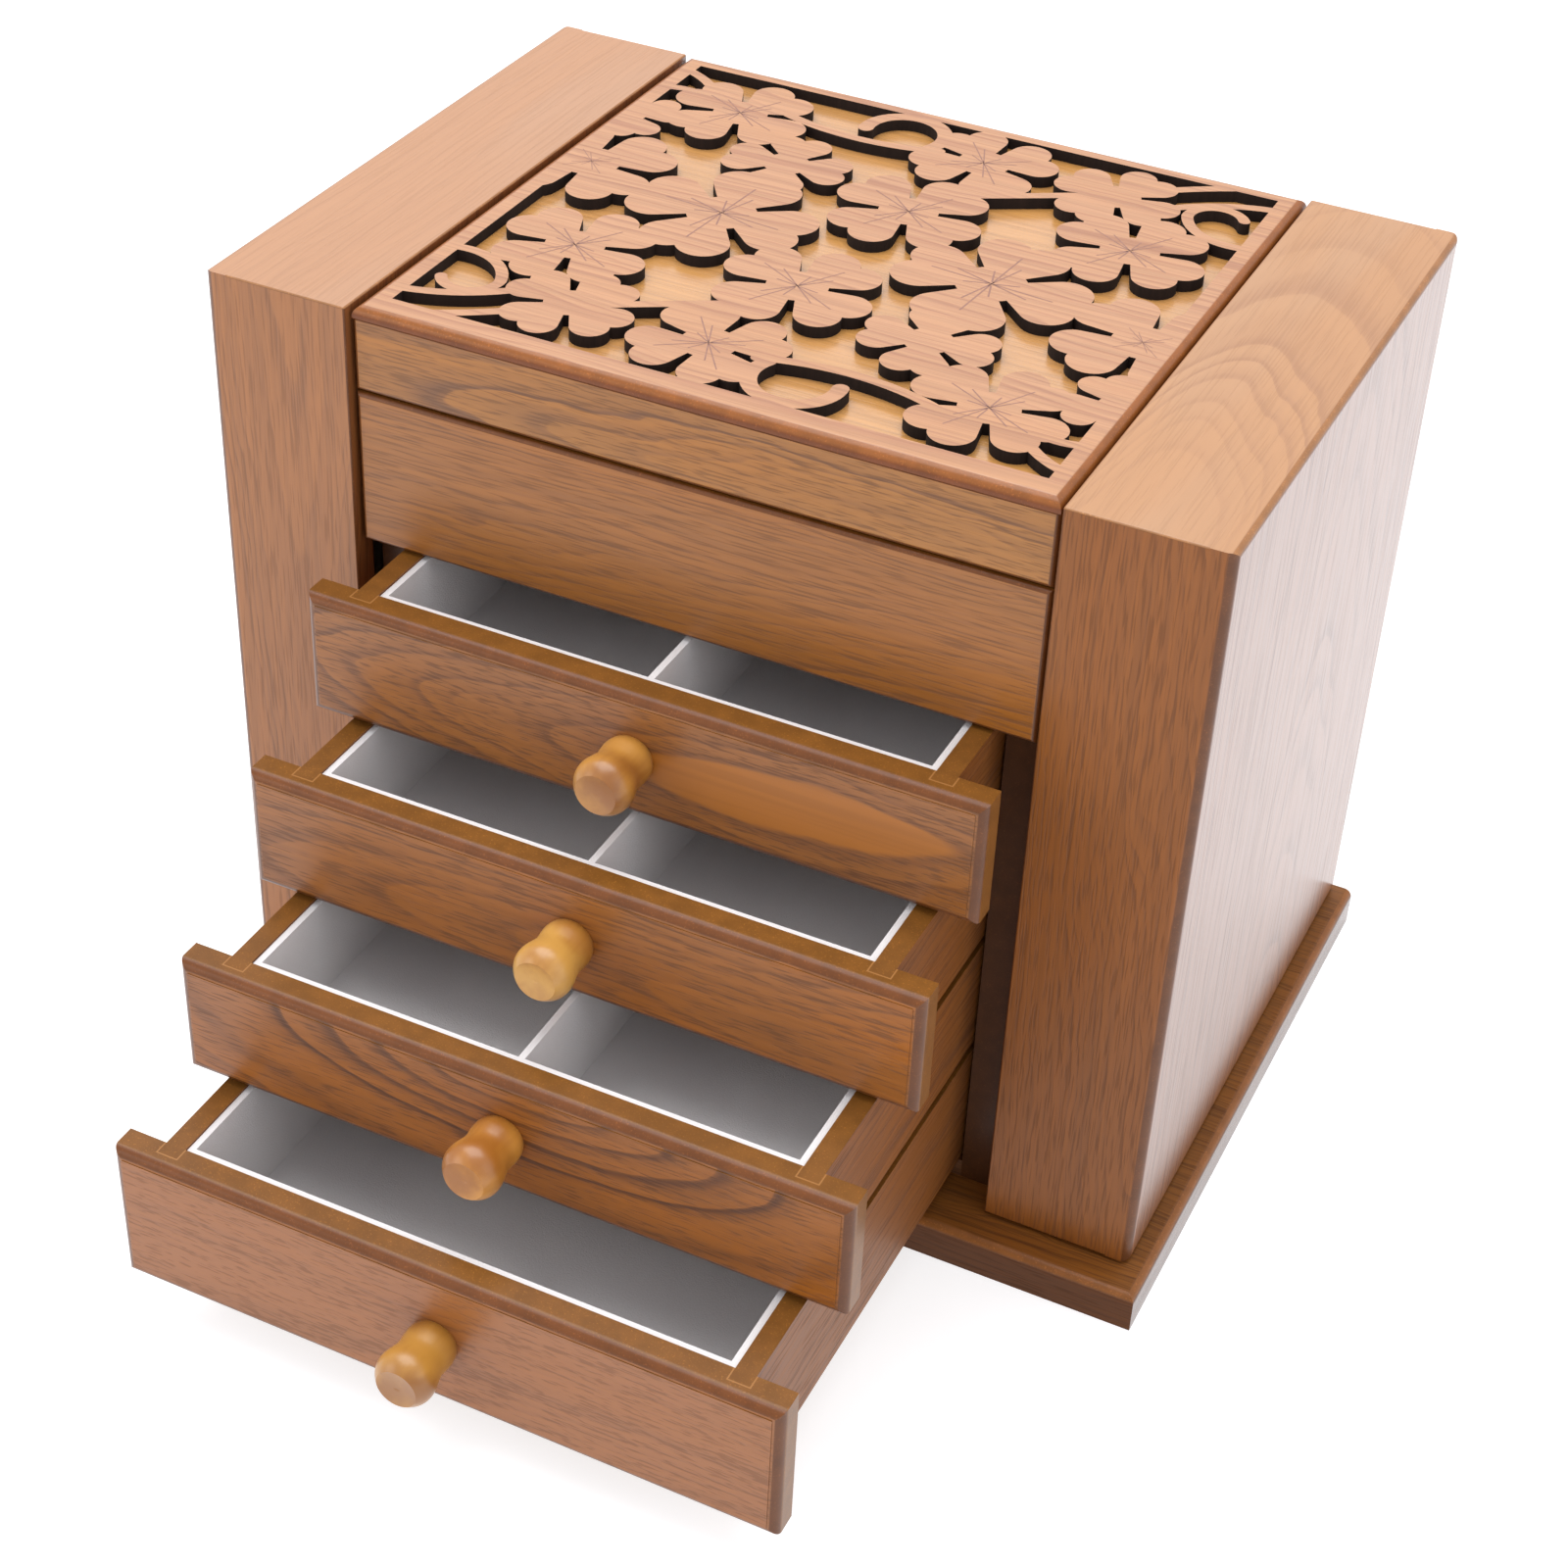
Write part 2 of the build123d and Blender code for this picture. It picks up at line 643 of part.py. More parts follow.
knob_screw_sizes = (
    knob_screw_radius,
    knob_screw_head_radius,
    knob_screw_head_height,
    front_thickness + knob_screw_grip,
)
front_half = cabinet_half - front_end_gap
for number in range(drawer_count):
    name = f"drawer_{number + 1}"
    front_face = face_y - drawer_pulls[number]
    front_rear = front_face + front_thickness
    box_back = front_rear + drawer_length
    low = front_bottoms[number]
    high = front_tops[number]
    box_low = box_lows[number]
    floor_high = box_low + drawer_bottom
    knob_z = (low + high) / 2

    right_side = block(box_inner, box_half, front_rear - side_housing, box_back, box_low, high)
    left_side = other_side(right_side)
    back_board = block(-box_inner, box_inner, box_back - drawer_back, box_back, floor_high, high)
    floor_board = block(-box_inner, box_inner, front_rear, box_back, box_low, floor_high)
    nodes[f"{name}_box"] = group([left_side, right_side, back_board, floor_board])

    screw_seat = Plane(origin=(0, front_rear, knob_z), x_dir=(1, 0, 0), z_dir=(0, 1, 0)).location
    board_face = front_face + front_face_raise
    front = round_front(block(-front_half, front_half, board_face, front_rear, low, high), front_round)
    raised_half = front_half - front_round
    front += block(-raised_half, raised_half, front_face, front_rear, low + front_round, high - front_round)
    front = front - right_side - left_side - screw_seat * screw_hole(*knob_screw_sizes)
    nodes[f"{name}_front"] = front
    nodes[f"{name}_knob"] = Pos(0, front_face, knob_z) * knob()
    nodes[f"{name}_knob_screw"] = screw_seat * slotted_screw(*knob_screw_sizes)
    nodes[f"{name}_lining"] = lining(
        box_inner - liner_gap,
        front_rear + liner_gap,
        box_back - drawer_back - liner_gap,
        floor_high,
        high - liner_drop,
        liner_columns[number],
        1,
    )

for name, shape in nodes.items():
    export_step(shape, f"parts/{name}.step")
print(len(nodes), "nodes, height", round(body_top, 2))
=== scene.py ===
import math
import bpy
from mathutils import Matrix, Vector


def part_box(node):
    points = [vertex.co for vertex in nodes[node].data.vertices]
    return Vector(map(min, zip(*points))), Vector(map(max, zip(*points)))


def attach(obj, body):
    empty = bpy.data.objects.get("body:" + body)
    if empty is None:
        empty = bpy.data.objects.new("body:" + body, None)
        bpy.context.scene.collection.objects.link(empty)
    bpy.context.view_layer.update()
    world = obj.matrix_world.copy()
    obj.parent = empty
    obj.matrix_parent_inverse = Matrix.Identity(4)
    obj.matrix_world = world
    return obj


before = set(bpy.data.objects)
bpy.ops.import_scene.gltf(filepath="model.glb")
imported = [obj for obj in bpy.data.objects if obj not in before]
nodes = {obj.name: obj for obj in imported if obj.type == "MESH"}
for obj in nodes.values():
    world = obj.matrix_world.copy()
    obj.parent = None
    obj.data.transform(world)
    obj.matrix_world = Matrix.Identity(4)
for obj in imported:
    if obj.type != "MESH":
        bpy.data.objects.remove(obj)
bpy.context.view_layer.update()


# Plinth. A base board under the whole box, its upper front and side edges rounded
# over on the moulder. Ash veneer stained walnut brown on top, the edges a little
# darker where the stain soaked into bare wood. Where the rounds look upward they
# are painted lighter, a painted highlight of the light from above.
def finish_start(name):
    """Fresh material: returns it with its node tree and its shader."""
    material = bpy.data.materials.new(name)
    material.use_nodes = True
    tree = material.node_tree
    return material, tree, tree.nodes["Principled BSDF"]


def add(tree, kind, inputs=None, **settings):
    """One node, with its settings, and its inputs set or linked."""
    made = tree.nodes.new(kind)
    for key, value in settings.items():
        setattr(made, key, value)
    for key, value in (inputs or {}).items():
        if isinstance(value, bpy.types.NodeSocket):
            tree.links.new(value, made.inputs[key])
        else:
            made.inputs[key].default_value = value
    return made


def place_on(tree):
    """The place on the piece, as three sockets."""
    spot = add(tree, "ShaderNodeTexCoord").outputs["Object"]
    return add(tree, "ShaderNodeSeparateXYZ", {0: spot}).outputs


def normal_on(tree):
    """The way the face looks, on the piece's own axes, as three sockets."""
    way = add(tree, "ShaderNodeTexCoord").outputs["Normal"]
    return add(tree, "ShaderNodeSeparateXYZ", {0: way}).outputs


def maths(tree, operation, first, second=0.0, third=0.0):
    """One step of arithmetic."""
    step = add(tree, "ShaderNodeMath", {0: first, 1: second, 2: third}, operation=operation)
    return step.outputs[0]


def times(tree, first, second):
    """A product."""
    return maths(tree, "MULTIPLY", first, second)


def times_plus(tree, first, second, third):
    """A product and a sum."""
    return maths(tree, "MULTIPLY_ADD", first, second, third)


def ramp(tree, factor, *stops):
    """A smooth curve through the stops, each a place from 0 to 1 and a value."""
    made = add(tree, "ShaderNodeValToRGB", {0: factor})
    made.color_ramp.interpolation = "EASE"
    elements = made.color_ramp.elements
    while len(elements) < len(stops):
        elements.new(0.5)
    for element, (place, value) in zip(elements, stops):
        element.position = place
        element.color = (value, value, value, 1.0)
    return made.outputs["Color"]


def blended(tree, factor, first, second, mode="MIX"):
    """Two colours mixed."""
    made = add(tree, "ShaderNodeMix", data_type="RGBA", blend_type=mode)
    for socket, value in ((0, factor), (6, first), (7, second)):
        if isinstance(value, bpy.types.NodeSocket):
            tree.links.new(value, made.inputs[socket])
        elif isinstance(value, tuple):
            made.inputs[socket].default_value = (*value, 1.0)
        else:
            made.inputs[socket].default_value = value
    return made.outputs[2]


def toned(tone, share):
    """A darker tone of a colour."""
    return tuple(share * part for part in tone)


def noise(tree, place, scale, detail):
    """Even noise."""
    made = add(tree, "ShaderNodeTexNoise", {"Vector": place, "Scale": scale, "Detail": detail})
    return made.outputs["Fac"]


def stretched(tree, axes, scales, seed, detail):
    """Noise drawn out along the grain."""
    parts = [times_plus(tree, axis, scale, seed) for axis, scale in zip(axes, scales)]
    place = add(tree, "ShaderNodeCombineXYZ", dict(enumerate(parts)))
    return noise(tree, place.outputs[0], 1.0, detail)


def raised(tree, shader, height, strength, distance):
    """Fine relief on a surface."""
    bump = add(tree, "ShaderNodeBump", {"Height": height, "Strength": strength, "Distance": distance})
    tree.links.new(bump.outputs[0], shader.inputs["Normal"])


# Waves of noise in a metre of veneer, along, across and through the leaf.
sway_waves = (5.0, 22.0, 22.0)
ripple_waves = (30.0, 90.0, 90.0)
cloud_waves = (5.0, 26.0, 26.0)
fibre_waves = (9.0, 620.0, 620.0)
pore_waves = 1700.0
# How far the growth rings sway, in metres, and how their width varies with the years.
sway_reach = 0.030
sway_middle = -0.0175
year_drift = 0.31
year_spread = 3.0


def ring_bands(tree, axes, seed, ring, heart, rise, ripples):
    """Growth rings round the heart: the distance from it and how dark the early wood is."""
    wander = stretched(tree, axes, sway_waves, seed, 2.0)
    ripple = stretched(tree, axes, ripple_waves, seed + 3.7, 2.0)
    sway = times_plus(tree, wander, sway_reach, times_plus(tree, ripple, ripples, sway_middle))
    sideways = maths(tree, "ADD", maths(tree, "SUBTRACT", axes[1], heart[1]), sway)
    upwards = times(tree, maths(tree, "SUBTRACT", axes[0], heart[0]), rise)
    squares = times_plus(tree, sideways, sideways, times(tree, upwards, upwards))
    distance = maths(tree, "SQRT", squares)
    radius = times_plus(tree, distance, 1.0 / ring, seed)
    drift = {"W": radius, "Scale": year_drift, "Detail": 1.0}
    years = add(tree, "ShaderNodeTexNoise", drift, noise_dimensions="1D").outputs["Fac"]
    season = maths(tree, "FRACT", times_plus(tree, years, year_spread, radius))
    year = ((0.0, 0.75), (0.07, 1.0), (0.36, 0.30), (0.72, 0.0), (0.95, 0.0), (1.0, 0.75))
    early = ramp(tree, season, *year)
    return distance, times(tree, early, ramp(tree, years, (0.0, 0.25), (0.35, 0.4), (0.62, 1.0)))


# How much the early wood adds to the pores, how dark a pore is against the dark wood,
# and how much of the warm glow is left outside a plain patch.
early_pores = 0.11
pore_shade = 0.55
outer_glow = 0.35


def figured(tree, grain, light, dark, warm, seed, ring=0.0034, heart=(0.4, 0.1), rise=0.07,
            figure=0.5, ripples=0.005, island=0.0, streaks=0.75, dash=0.014, pores=0.35):
    """One veneered face: its colour, fibres and pores. grain names the axes along, across and
    through the leaf. heart is the place along and across where the growth rings centre, ring
    their width, rise their slant, island the plain wood inside them, dash a pore's length."""
    place = place_on(tree)
    axes = [place["XYZ".index(letter)] for letter in grain]
    distance, band = ring_bands(tree, axes, seed, ring, heart, rise, ripples)
    glow = ramp(tree, stretched(tree, axes, cloud_waves, seed + 21.0, 2.0), (0.42, 0.0), (0.62, 1.0))
    fibre = stretched(tree, axes, fibre_waves, seed + 11.0, 4.0)
    cells = stretched(tree, axes, (1.0 / dash, pore_waves, pore_waves), seed + 5.0, 1.0)
    if island:
        reach = times(tree, distance, 0.5 / island)
        outside = ramp(tree, reach, (0.0, 0.0), (0.44, 0.0), (0.52, 1.0))
        band = times(tree, band, outside)
        inside = maths(tree, "SUBTRACT", 1.0, outside)
        glow = maths(tree, "MAXIMUM", times(tree, glow, outer_glow), inside)
    porous = ramp(tree, times_plus(tree, band, early_pores, cells), (0.0, 0.0), (0.52, 0.0), (0.68, 1.0))
    if island:
        porous = times(tree, porous, outside)
    colour = blended(tree, glow, light, warm)
    colour = blended(tree, times(tree, band, figure), colour, dark)
    streak = ramp(tree, fibre, (0.0, 0.60), (0.35, 0.84), (0.62, 1.0))
    colour = blended(tree, streaks, colour, streak, "MULTIPLY")
    colour = blended(tree, times(tree, porous, pores), colour, toned(dark, pore_shade))
    return colour, fibre, porous


# Grit and blotches in the lacquer, in waves to the metre, the gleam of bare and of
# veneered wood, and what fibres and pores add to the roughness and the relief.
grit_waves = 2000.0
blotch_waves = 160.0
bare_gleam = 0.25
veneer_gleam = 0.5
coat_rough = 0.22
fibre_rough = 0.14
pore_rough = 0.15
fibre_height = 0.35
pore_depth = 0.8


def veneer(name, looks, edge, lit_rim=None, flat=None, gloss=0.40, coat=0.25):
    """Lacquered veneer. looks gives the leaf on the faces that look along each axis, with its own
    coat and gleam where they differ. What has no leaf is bare wood with pale grit in the lacquer:
    edge on the rounds and flat on the plain faces. Where the rounds look upward they take a
    lighter colour instead of edge, a painted highlight of the light from above."""
    material, tree, shader = finish_start(name)
    place = add(tree, "ShaderNodeTexCoord").outputs["Object"]
    normal = normal_on(tree)
    facing = {}
    for axis, way in zip("XYZ", normal):
        facing[axis] = ramp(tree, maths(tree, "ABSOLUTE", way), (0.95, 0.0), (0.99, 1.0))
    # Rounds that look upward get the lighter colour: a painted highlight of the light from above.
    colour = blended(tree, ramp(tree, normal[2], (0.15, 0.0), (0.55, 1.0)), edge, lit_rim or edge)
    for axis in facing:
        colour = blended(tree, facing[axis], colour, flat or edge)
    grit = ramp(tree, noise(tree, place, grit_waves, 2.0), (0.58, 1.0), (0.74, 1.6))
    blotch = ramp(tree, noise(tree, place, blotch_waves, 3.0), (0.30, 0.80), (0.70, 1.0))
    colour = blended(tree, 1.0, colour, grit, "MULTIPLY")
    colour = blended(tree, 1.0, colour, blotch, "MULTIPLY")

    gleam = bare_gleam
    weight = coat
    threads = 0.0
    pits = 0.0
    for axis, look in looks.items():
        look = dict(look)
        leaf_coat = look.pop("coat", coat)
        leaf_gleam = look.pop("gleam", veneer_gleam)
        leaf, fibre, porous = figured(tree, **look)
        colour = blended(tree, facing[axis], colour, leaf)
        gleam = times_plus(tree, facing[axis], leaf_gleam - bare_gleam, gleam)
        if leaf_coat != coat:
            weight = times_plus(tree, facing[axis], leaf_coat - coat, weight)
        threads = times_plus(tree, facing[axis], fibre, threads)
        pits = times_plus(tree, facing[axis], porous, pits)
    rough = times_plus(tree, threads, fibre_rough, gloss - fibre_rough / 2)
    tree.links.new(colour, shader.inputs["Base Color"])
    tree.links.new(gleam, shader.inputs["Specular IOR Level"])
    shader.inputs["Coat Weight"].default_value = coat
    if isinstance(weight, bpy.types.NodeSocket):
        tree.links.new(weight, shader.inputs["Coat Weight"])
    tree.links.new(times_plus(tree, pits, pore_rough, rough), shader.inputs["Roughness"])
    shader.inputs["Coat Roughness"].default_value = coat_rough
    height = maths(tree, "SUBTRACT", times(tree, threads, fibre_height), times(tree, pits, pore_depth))
    raised(tree, shader, height, strength=0.22, distance=0.00025)
    return material


def finish(node, material):
    """Puts the finish on a piece that came with the frame."""
    node.data.materials.clear()
    node.data.materials.append(material)


edge_brown = (0.100, 0.034, 0.010)
deep_brown = (0.085, 0.028, 0.007)
# Lighter colour of the plinth's rounds where they look upward: a painted highlight.
plinth_lit_rim = (0.270, 0.098, 0.022)
plinth_top = dict(
    grain="XYZ", light=(0.25, 0.092, 0.017), dark=(0.120, 0.042, 0.010), warm=(0.27, 0.096, 0.015),
    seed=2.0, ring=0.0016, heart=(0.4, 0.12), rise=0.04, figure=0.6, coat=0.05, gleam=0.25)
plinth_front = dict(
    grain="XZY", light=(0.100, 0.033, 0.007), dark=deep_brown, warm=(0.110, 0.034, 0.006),
    seed=5.0, ring=0.0030, heart=(0.4, 0.05), rise=0.04, coat=0.0, gleam=0.2)
plinth_side = dict(
    grain="YZX", light=(0.130, 0.050, 0.018), dark=deep_brown, warm=(0.130, 0.048, 0.016),
    seed=9.0, ring=0.0030, heart=(0.4, 0.05), rise=0.04, coat=0.9)
plinth_leaves = {"Z": plinth_top, "Y": plinth_front, "X": plinth_side}
finish(nodes["plinth"], veneer("plinth_ash", plinth_leaves, edge_brown, plinth_lit_rim, gloss=0.46, coat=0.1))

# Cabinet walls, bottom and back. Boards glued and pinned into an open case that the
# drawers run in. Stained the same brown as the outside, duller where it is hidden.
wall_edge = (0.085, 0.030, 0.009)
wall_leaf = dict(
    grain="ZYX", light=(0.17, 0.062, 0.017), dark=deep_brown, warm=(0.18, 0.064, 0.014),
    seed=7.0, heart=(-0.2, 0.20), rise=0.06)
wall_ash = veneer("wall_ash", {"X": wall_leaf}, wall_edge, gloss=0.48, coat=0.15)
finish(nodes["cabinet_wall_left"], wall_ash)
finish(nodes["cabinet_wall_right"], wall_ash)
bottom_leaf = dict(
    grain="XZY", light=(0.15, 0.060, 0.020), dark=deep_brown, warm=(0.16, 0.062, 0.018),
    seed=12.0, heart=(0.3, 0.10), rise=0.06)
finish(nodes["cabinet_bottom"], veneer("bottom_ash", {"Y": bottom_leaf}, edge_brown, gloss=0.50, coat=0.1))
back_leaf = dict(
    grain="ZXY", light=(0.23, 0.085, 0.022), dark=(0.12, 0.042, 0.011), warm=(0.24, 0.086, 0.018),
    seed=16.0, ring=0.0040, heart=(-0.25, 0.02), rise=0.16)
back_ash = veneer("back_ash", {"Y": back_leaf}, edge_brown, gloss=0.44)
finish(nodes["cabinet_back"], back_ash)

# Shelves and tray floor. Thin plain boards let into grooves in the walls, stained
# but not polished.
shelf_leaf = dict(
    grain="XYZ", light=(0.15, 0.062, 0.022), dark=deep_brown, warm=(0.16, 0.066, 0.022),
    seed=19.0, ring=0.0045, heart=(0.35, 0.05), rise=0.08)
shelf_ash = veneer("shelf_ash", {"Z": shelf_leaf}, edge_brown, gloss=0.58, coat=0.0)
finish(nodes["drawer_shelves"], shelf_ash)
finish(nodes["tray_floor"], shelf_ash)

# Tray front panel. The fixed panel under the lid, veneered with straight grain lying
# from side to side.
front_edge = (0.135, 0.043, 0.010)
# Lighter colour of the rounds on panel, lid rails, drawer fronts and boxes where they look upward: a painted
# highlight.
front_lit_rim = (0.165, 0.052, 0.011)
front_flat = (0.205, 0.080, 0.013)
panel_leaf = dict(
    grain="XZY", light=(0.335, 0.122, 0.020), dark=(0.190, 0.070, 0.021), warm=(0.340, 0.116, 0.013),
    seed=23.0, ring=0.0026, heart=(0.45, 0.17), rise=0.05, figure=0.5, dash=0.014, pores=0.42)
finish(nodes["tray_front_panel"], veneer("panel_ash", {"Y": panel_leaf}, front_edge, front_lit_rim, front_flat))

# White linings of the tray, the wings and the drawers. Card inserts covered in short
# white flock, folded up at the sides and dropped into place.
pile_waves = 2600.0
rubbed_waves = 38.0


def flocked(name, tone):
    """Short white pile, rubbed a little."""
    material, tree, shader = finish_start(name)
    place = add(tree, "ShaderNodeTexCoord").outputs["Object"]
    pile = noise(tree, place, pile_waves, 2.0)
    rubbed = noise(tree, place, rubbed_waves, 3.0)
    shade = maths(tree, "ADD", times(tree, pile, 0.16), times(tree, rubbed, 0.10))
    tint = ramp(tree, shade, (0.0, 0.78), (0.13, 0.93), (0.26, 1.0))
    tree.links.new(blended(tree, 1.0, tone, tint, "MULTIPLY"), shader.inputs["Base Color"])
    raised(tree, shader, pile, strength=0.35, distance=0.0004)
    shader.inputs["Roughness"].default_value = 0.92
    shader.inputs["Sheen Weight"].default_value = 0.2
    shader.inputs["Sheen Roughness"].default_value = 0.5
    return material


white_flock = flocked("white_flock", (0.79, 0.775, 0.77))
for name in nodes:
    if name.endswith("_lining"):
        finish(nodes[name], white_flock)

# Hinges, pins, hooks and screws. Stamped and turned brass, lightly brushed, with a
# thin lacquer that has dulled in places.
brush_waves = (60.0, 4200.0, 900.0)
dull_waves = 140.0
dull_shade = 0.55


def brass(name, tone, gloss):
    """Brushed brass with dull patches."""
    material, tree, shader = finish_start(name)
    across, deep, up = place_on(tree)
    brushed = stretched(tree, (up, across, deep), brush_waves, 4.0, 2.0)
    dull = noise(tree, add(tree, "ShaderNodeTexCoord").outputs["Object"], dull_waves, 4.0)
    patches = ramp(tree, dull, (0.0, 0.0), (0.45, 0.1), (0.75, 1.0))
    tree.links.new(blended(tree, patches, tone, toned(tone, dull_shade)), shader.inputs["Base Color"])
    rough = maths(tree, "ADD", times(tree, brushed, 0.16), times_plus(tree, dull, 0.18, gloss))
    tree.links.new(rough, shader.inputs["Roughness"])
    raised(tree, shader, brushed, strength=0.12, distance=0.0001)
    shader.inputs["Metallic"].default_value = 1.0
    return material


hinge_brass = brass("hinge_brass", (0.60, 0.40, 0.16), 0.16)
screw_brass = brass("screw_brass", (0.55, 0.38, 0.17), 0.20)
for name in nodes:
    if "leaves" in name or "hooks" in name or name == "hinge_pins":
        finish(nodes[name], hinge_brass)
    elif "screw" in name:
        finish(nodes[name], screw_brass)

# Wings. Narrow cases that stand on either side and swing out on hinges. Mitred boards
# and an outer side panel, veneered over the joints with the grain running up the front,
# back and sides and from front to back on top. Only the rounded outer edges are bare.
wing_edge = (0.140, 0.048, 0.014)
# Lighter colour of the wings' rounds where they look upward: a painted highlight.
wing_lit_rim = (0.340, 0.150, 0.052)
left_front = dict(
    grain="ZXY", light=(0.355, 0.134, 0.036), dark=(0.215, 0.084, 0.032), warm=(0.355, 0.130, 0.028),
    seed=31.0, ring=0.0024, heart=(0.62, -0.118), rise=0.045, figure=0.5, dash=0.014, pores=0.32, coat=0.2)
left_top = dict(
    grain="YXZ", light=(0.440, 0.240, 0.133), dark=(0.350, 0.175, 0.092), warm=(0.445, 0.230, 0.118),
    seed=41.0, ring=0.0026, heart=(0.5, -0.17), rise=0.04, figure=0.30, streaks=0.2, dash=0.020, pores=0.12)
right_front = dict(
    grain="ZXY", light=(0.270, 0.088, 0.013), dark=(0.160, 0.052, 0.012), warm=(0.275, 0.085, 0.010),
    seed=37.0, ring=0.0014, heart=(0.7, 0.155), rise=0.05, figure=0.4, dash=0.012, pores=0.38,
    coat=0.06, gleam=0.4)
right_top = dict(
    grain="YXZ", light=(0.440, 0.238, 0.118), dark=(0.330, 0.158, 0.076), warm=(0.445, 0.226, 0.100),
    seed=43.0, ring=0.0050, heart=(-0.12, 0.121), rise=0.25, figure=0.6, streaks=0.2, dash=0.020, pores=0.14)
side_leaf = dict(
    grain="ZYX", light=(0.250, 0.088, 0.026), dark=(0.140, 0.044, 0.013), warm=(0.260, 0.088, 0.022),
    seed=47.0, ring=0.0040, heart=(-0.3, 0.02), rise=0.13, dash=0.030, coat=0.9)
for side, front_leaf, top_leaf in (("left", left_front, left_top), ("right", right_front, right_top)):
    wing_leaves = {"X": side_leaf, "Y": front_leaf, "Z": top_leaf}
    wing_ash = veneer(f"wing_{side}_ash", wing_leaves, wing_edge, wing_lit_rim)
    for piece in ("front", "ends", "outer_panel"):
        finish(nodes[f"wing_{side}_{piece}"], wing_ash)
    finish(nodes[f"wing_{side}_back"], back_ash)
    finish(nodes[f"wing_{side}_hook_rail"], shelf_ash)

# Lid rails. A mitred frame under the fretwork, veneered on its outer faces with a bold
# wavy figure along the front.
lid_front_leaf = dict(
    grain="XZY", light=(0.375, 0.150, 0.026), dark=(0.165, 0.062, 0.019), warm=(0.380, 0.140, 0.017),
    seed=53.0, ring=0.0050, heart=(0.05, 0.2325), rise=0.09, figure=0.85, ripples=0.009,
    dash=0.009, pores=0.45)
lid_side_leaf = dict(
    grain="YZX", light=(0.25, 0.095, 0.022), dark=deep_brown, warm=(0.26, 0.096, 0.018),
    seed=59.0, heart=(0.3, 0.22), rise=0.06)
lid_front_ash = veneer("lid_front_ash", {"Y": lid_front_leaf}, front_edge, front_lit_rim, front_flat)
finish(nodes["lid_front_rail"], lid_front_ash)
finish(nodes["lid_back_rail"], lid_front_ash)
finish(nodes["lid_side_rails"], veneer("lid_side_ash", {"X": lid_side_leaf}, front_edge))

# Fretwork sheet. Cut by laser from ply, so the walls of the cut-outs are burnt
# nearly black, and sanded to a rounded edge round the outside.
sheet_edge = (0.185, 0.050, 0.010)
# Lighter colour of the sheet's outer round where it looks upward: a painted highlight.
sheet_lit_rim = (0.290, 0.095, 0.020)
sheet_coat = 0.25
sheet_leaf = dict(
    grain="XYZ", light=(0.490, 0.252, 0.128), dark=(0.345, 0.148, 0.078), warm=(0.490, 0.245, 0.116),
    seed=61.0, ring=0.0040, heart=(0.5, 0.16), rise=0.05, figure=0.7, dash=0.030, pores=0.16)
char_black = (0.007, 0.0045, 0.004)
char_brown = (0.024, 0.014, 0.011)
char_rough = 0.45
soot_waves = (90.0, 900.0, 900.0)
field_low, field_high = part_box("lid_panel")
fretwork_ash = veneer("fretwork_ash", {"Z": sheet_leaf}, sheet_edge, sheet_lit_rim, coat=sheet_coat)
tree = fretwork_ash.node_tree
shader = tree.nodes["Principled BSDF"]
across, deep, up = place_on(tree)
burnt = maths(tree, "LESS_THAN", maths(tree, "ABSOLUTE", normal_on(tree)[2]), 0.5)
burnt = times(tree, burnt, maths(tree, "LESS_THAN", maths(tree, "ABSOLUTE", across), field_high[0]))
burnt = times(tree, burnt, maths(tree, "GREATER_THAN", deep, field_low[1]))
burnt = times(tree, burnt, maths(tree, "LESS_THAN", deep, field_high[1]))
char = blended(tree, stretched(tree, (up, across, deep), soot_waves, 3.0, 3.0), char_black, char_brown)
surface = shader.inputs["Base Color"].links[0].from_socket
rough = shader.inputs["Roughness"].links[0].from_socket
tree.links.new(blended(tree, burnt, surface, char), shader.inputs["Base Color"])
tree.links.new(times_plus(tree, burnt, char_rough, rough), shader.inputs["Roughness"])
tree.links.new(times_plus(tree, burnt, -sheet_coat, sheet_coat), shader.inputs["Coat Weight"])
finish(nodes["lid_fretwork"], fretwork_ash)

# Veins on the clovers. Fine lines scorched by the laser from the middle of a clover
# out along its leaves, left as a thin dark film on the fretwork sheet. Each clover has
# its place across and along the pattern, its turn and its size, and a twin half a turn away.
sheet_low, sheet_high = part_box("lid_fretwork")
front_border_excess = 0.003
field_middle = (0.0, (sheet_low[1] + sheet_high[1] + front_border_excess) / 2)
field_half = (0.093, 0.089)
film_lift = 0.00002
veined = (
    (-0.72, 0.72, 62.0, 0.245), (0.04, 0.32, 60.0, 0.255), (-0.444, 0.01, 85.0, 0.30),
    (-0.72, -0.417, 60.0, 0.25), (-0.105, -0.775, 35.0, 0.235), (-0.955, 0.133, 45.0, 0.14),
)
# Each line's turn, and where it starts and ends on a clover of size 1.
vein_lines = ((0.0, 0.0, 0.66), (14.0, 0.02, 0.44), (-21.0, 0.04, 0.28))
vein_width = 0.018
middle = (0.0, 0.0, 0.0)
bpy.ops.object.select_all(action="DESELECT")
bpy.ops.mesh.primitive_plane_add(size=1.0)
star = bpy.context.active_object
bpy.ops.object.mode_set(mode="EDIT")
bpy.ops.mesh.delete(type="VERT")
for turn, start, end in vein_lines:
    bpy.ops.mesh.select_all(action="DESELECT")
    bpy.ops.mesh.primitive_plane_add(size=1.0)
    bpy.ops.transform.resize(value=(end - start, vein_width, 1.0), center_override=middle)
    bpy.ops.transform.translate(value=((start + end) / 2, 0.0, 0.0))
    bpy.ops.transform.rotate(value=math.radians(turn), orient_axis="Z", center_override=middle)
bpy.ops.mesh.select_all(action="SELECT")
bpy.ops.mesh.spin(steps=3, dupli=True, angle=math.radians(270.0), center=middle, axis=(0.0, 0.0, 1.0))
bpy.ops.object.mode_set(mode="OBJECT")
stars = []
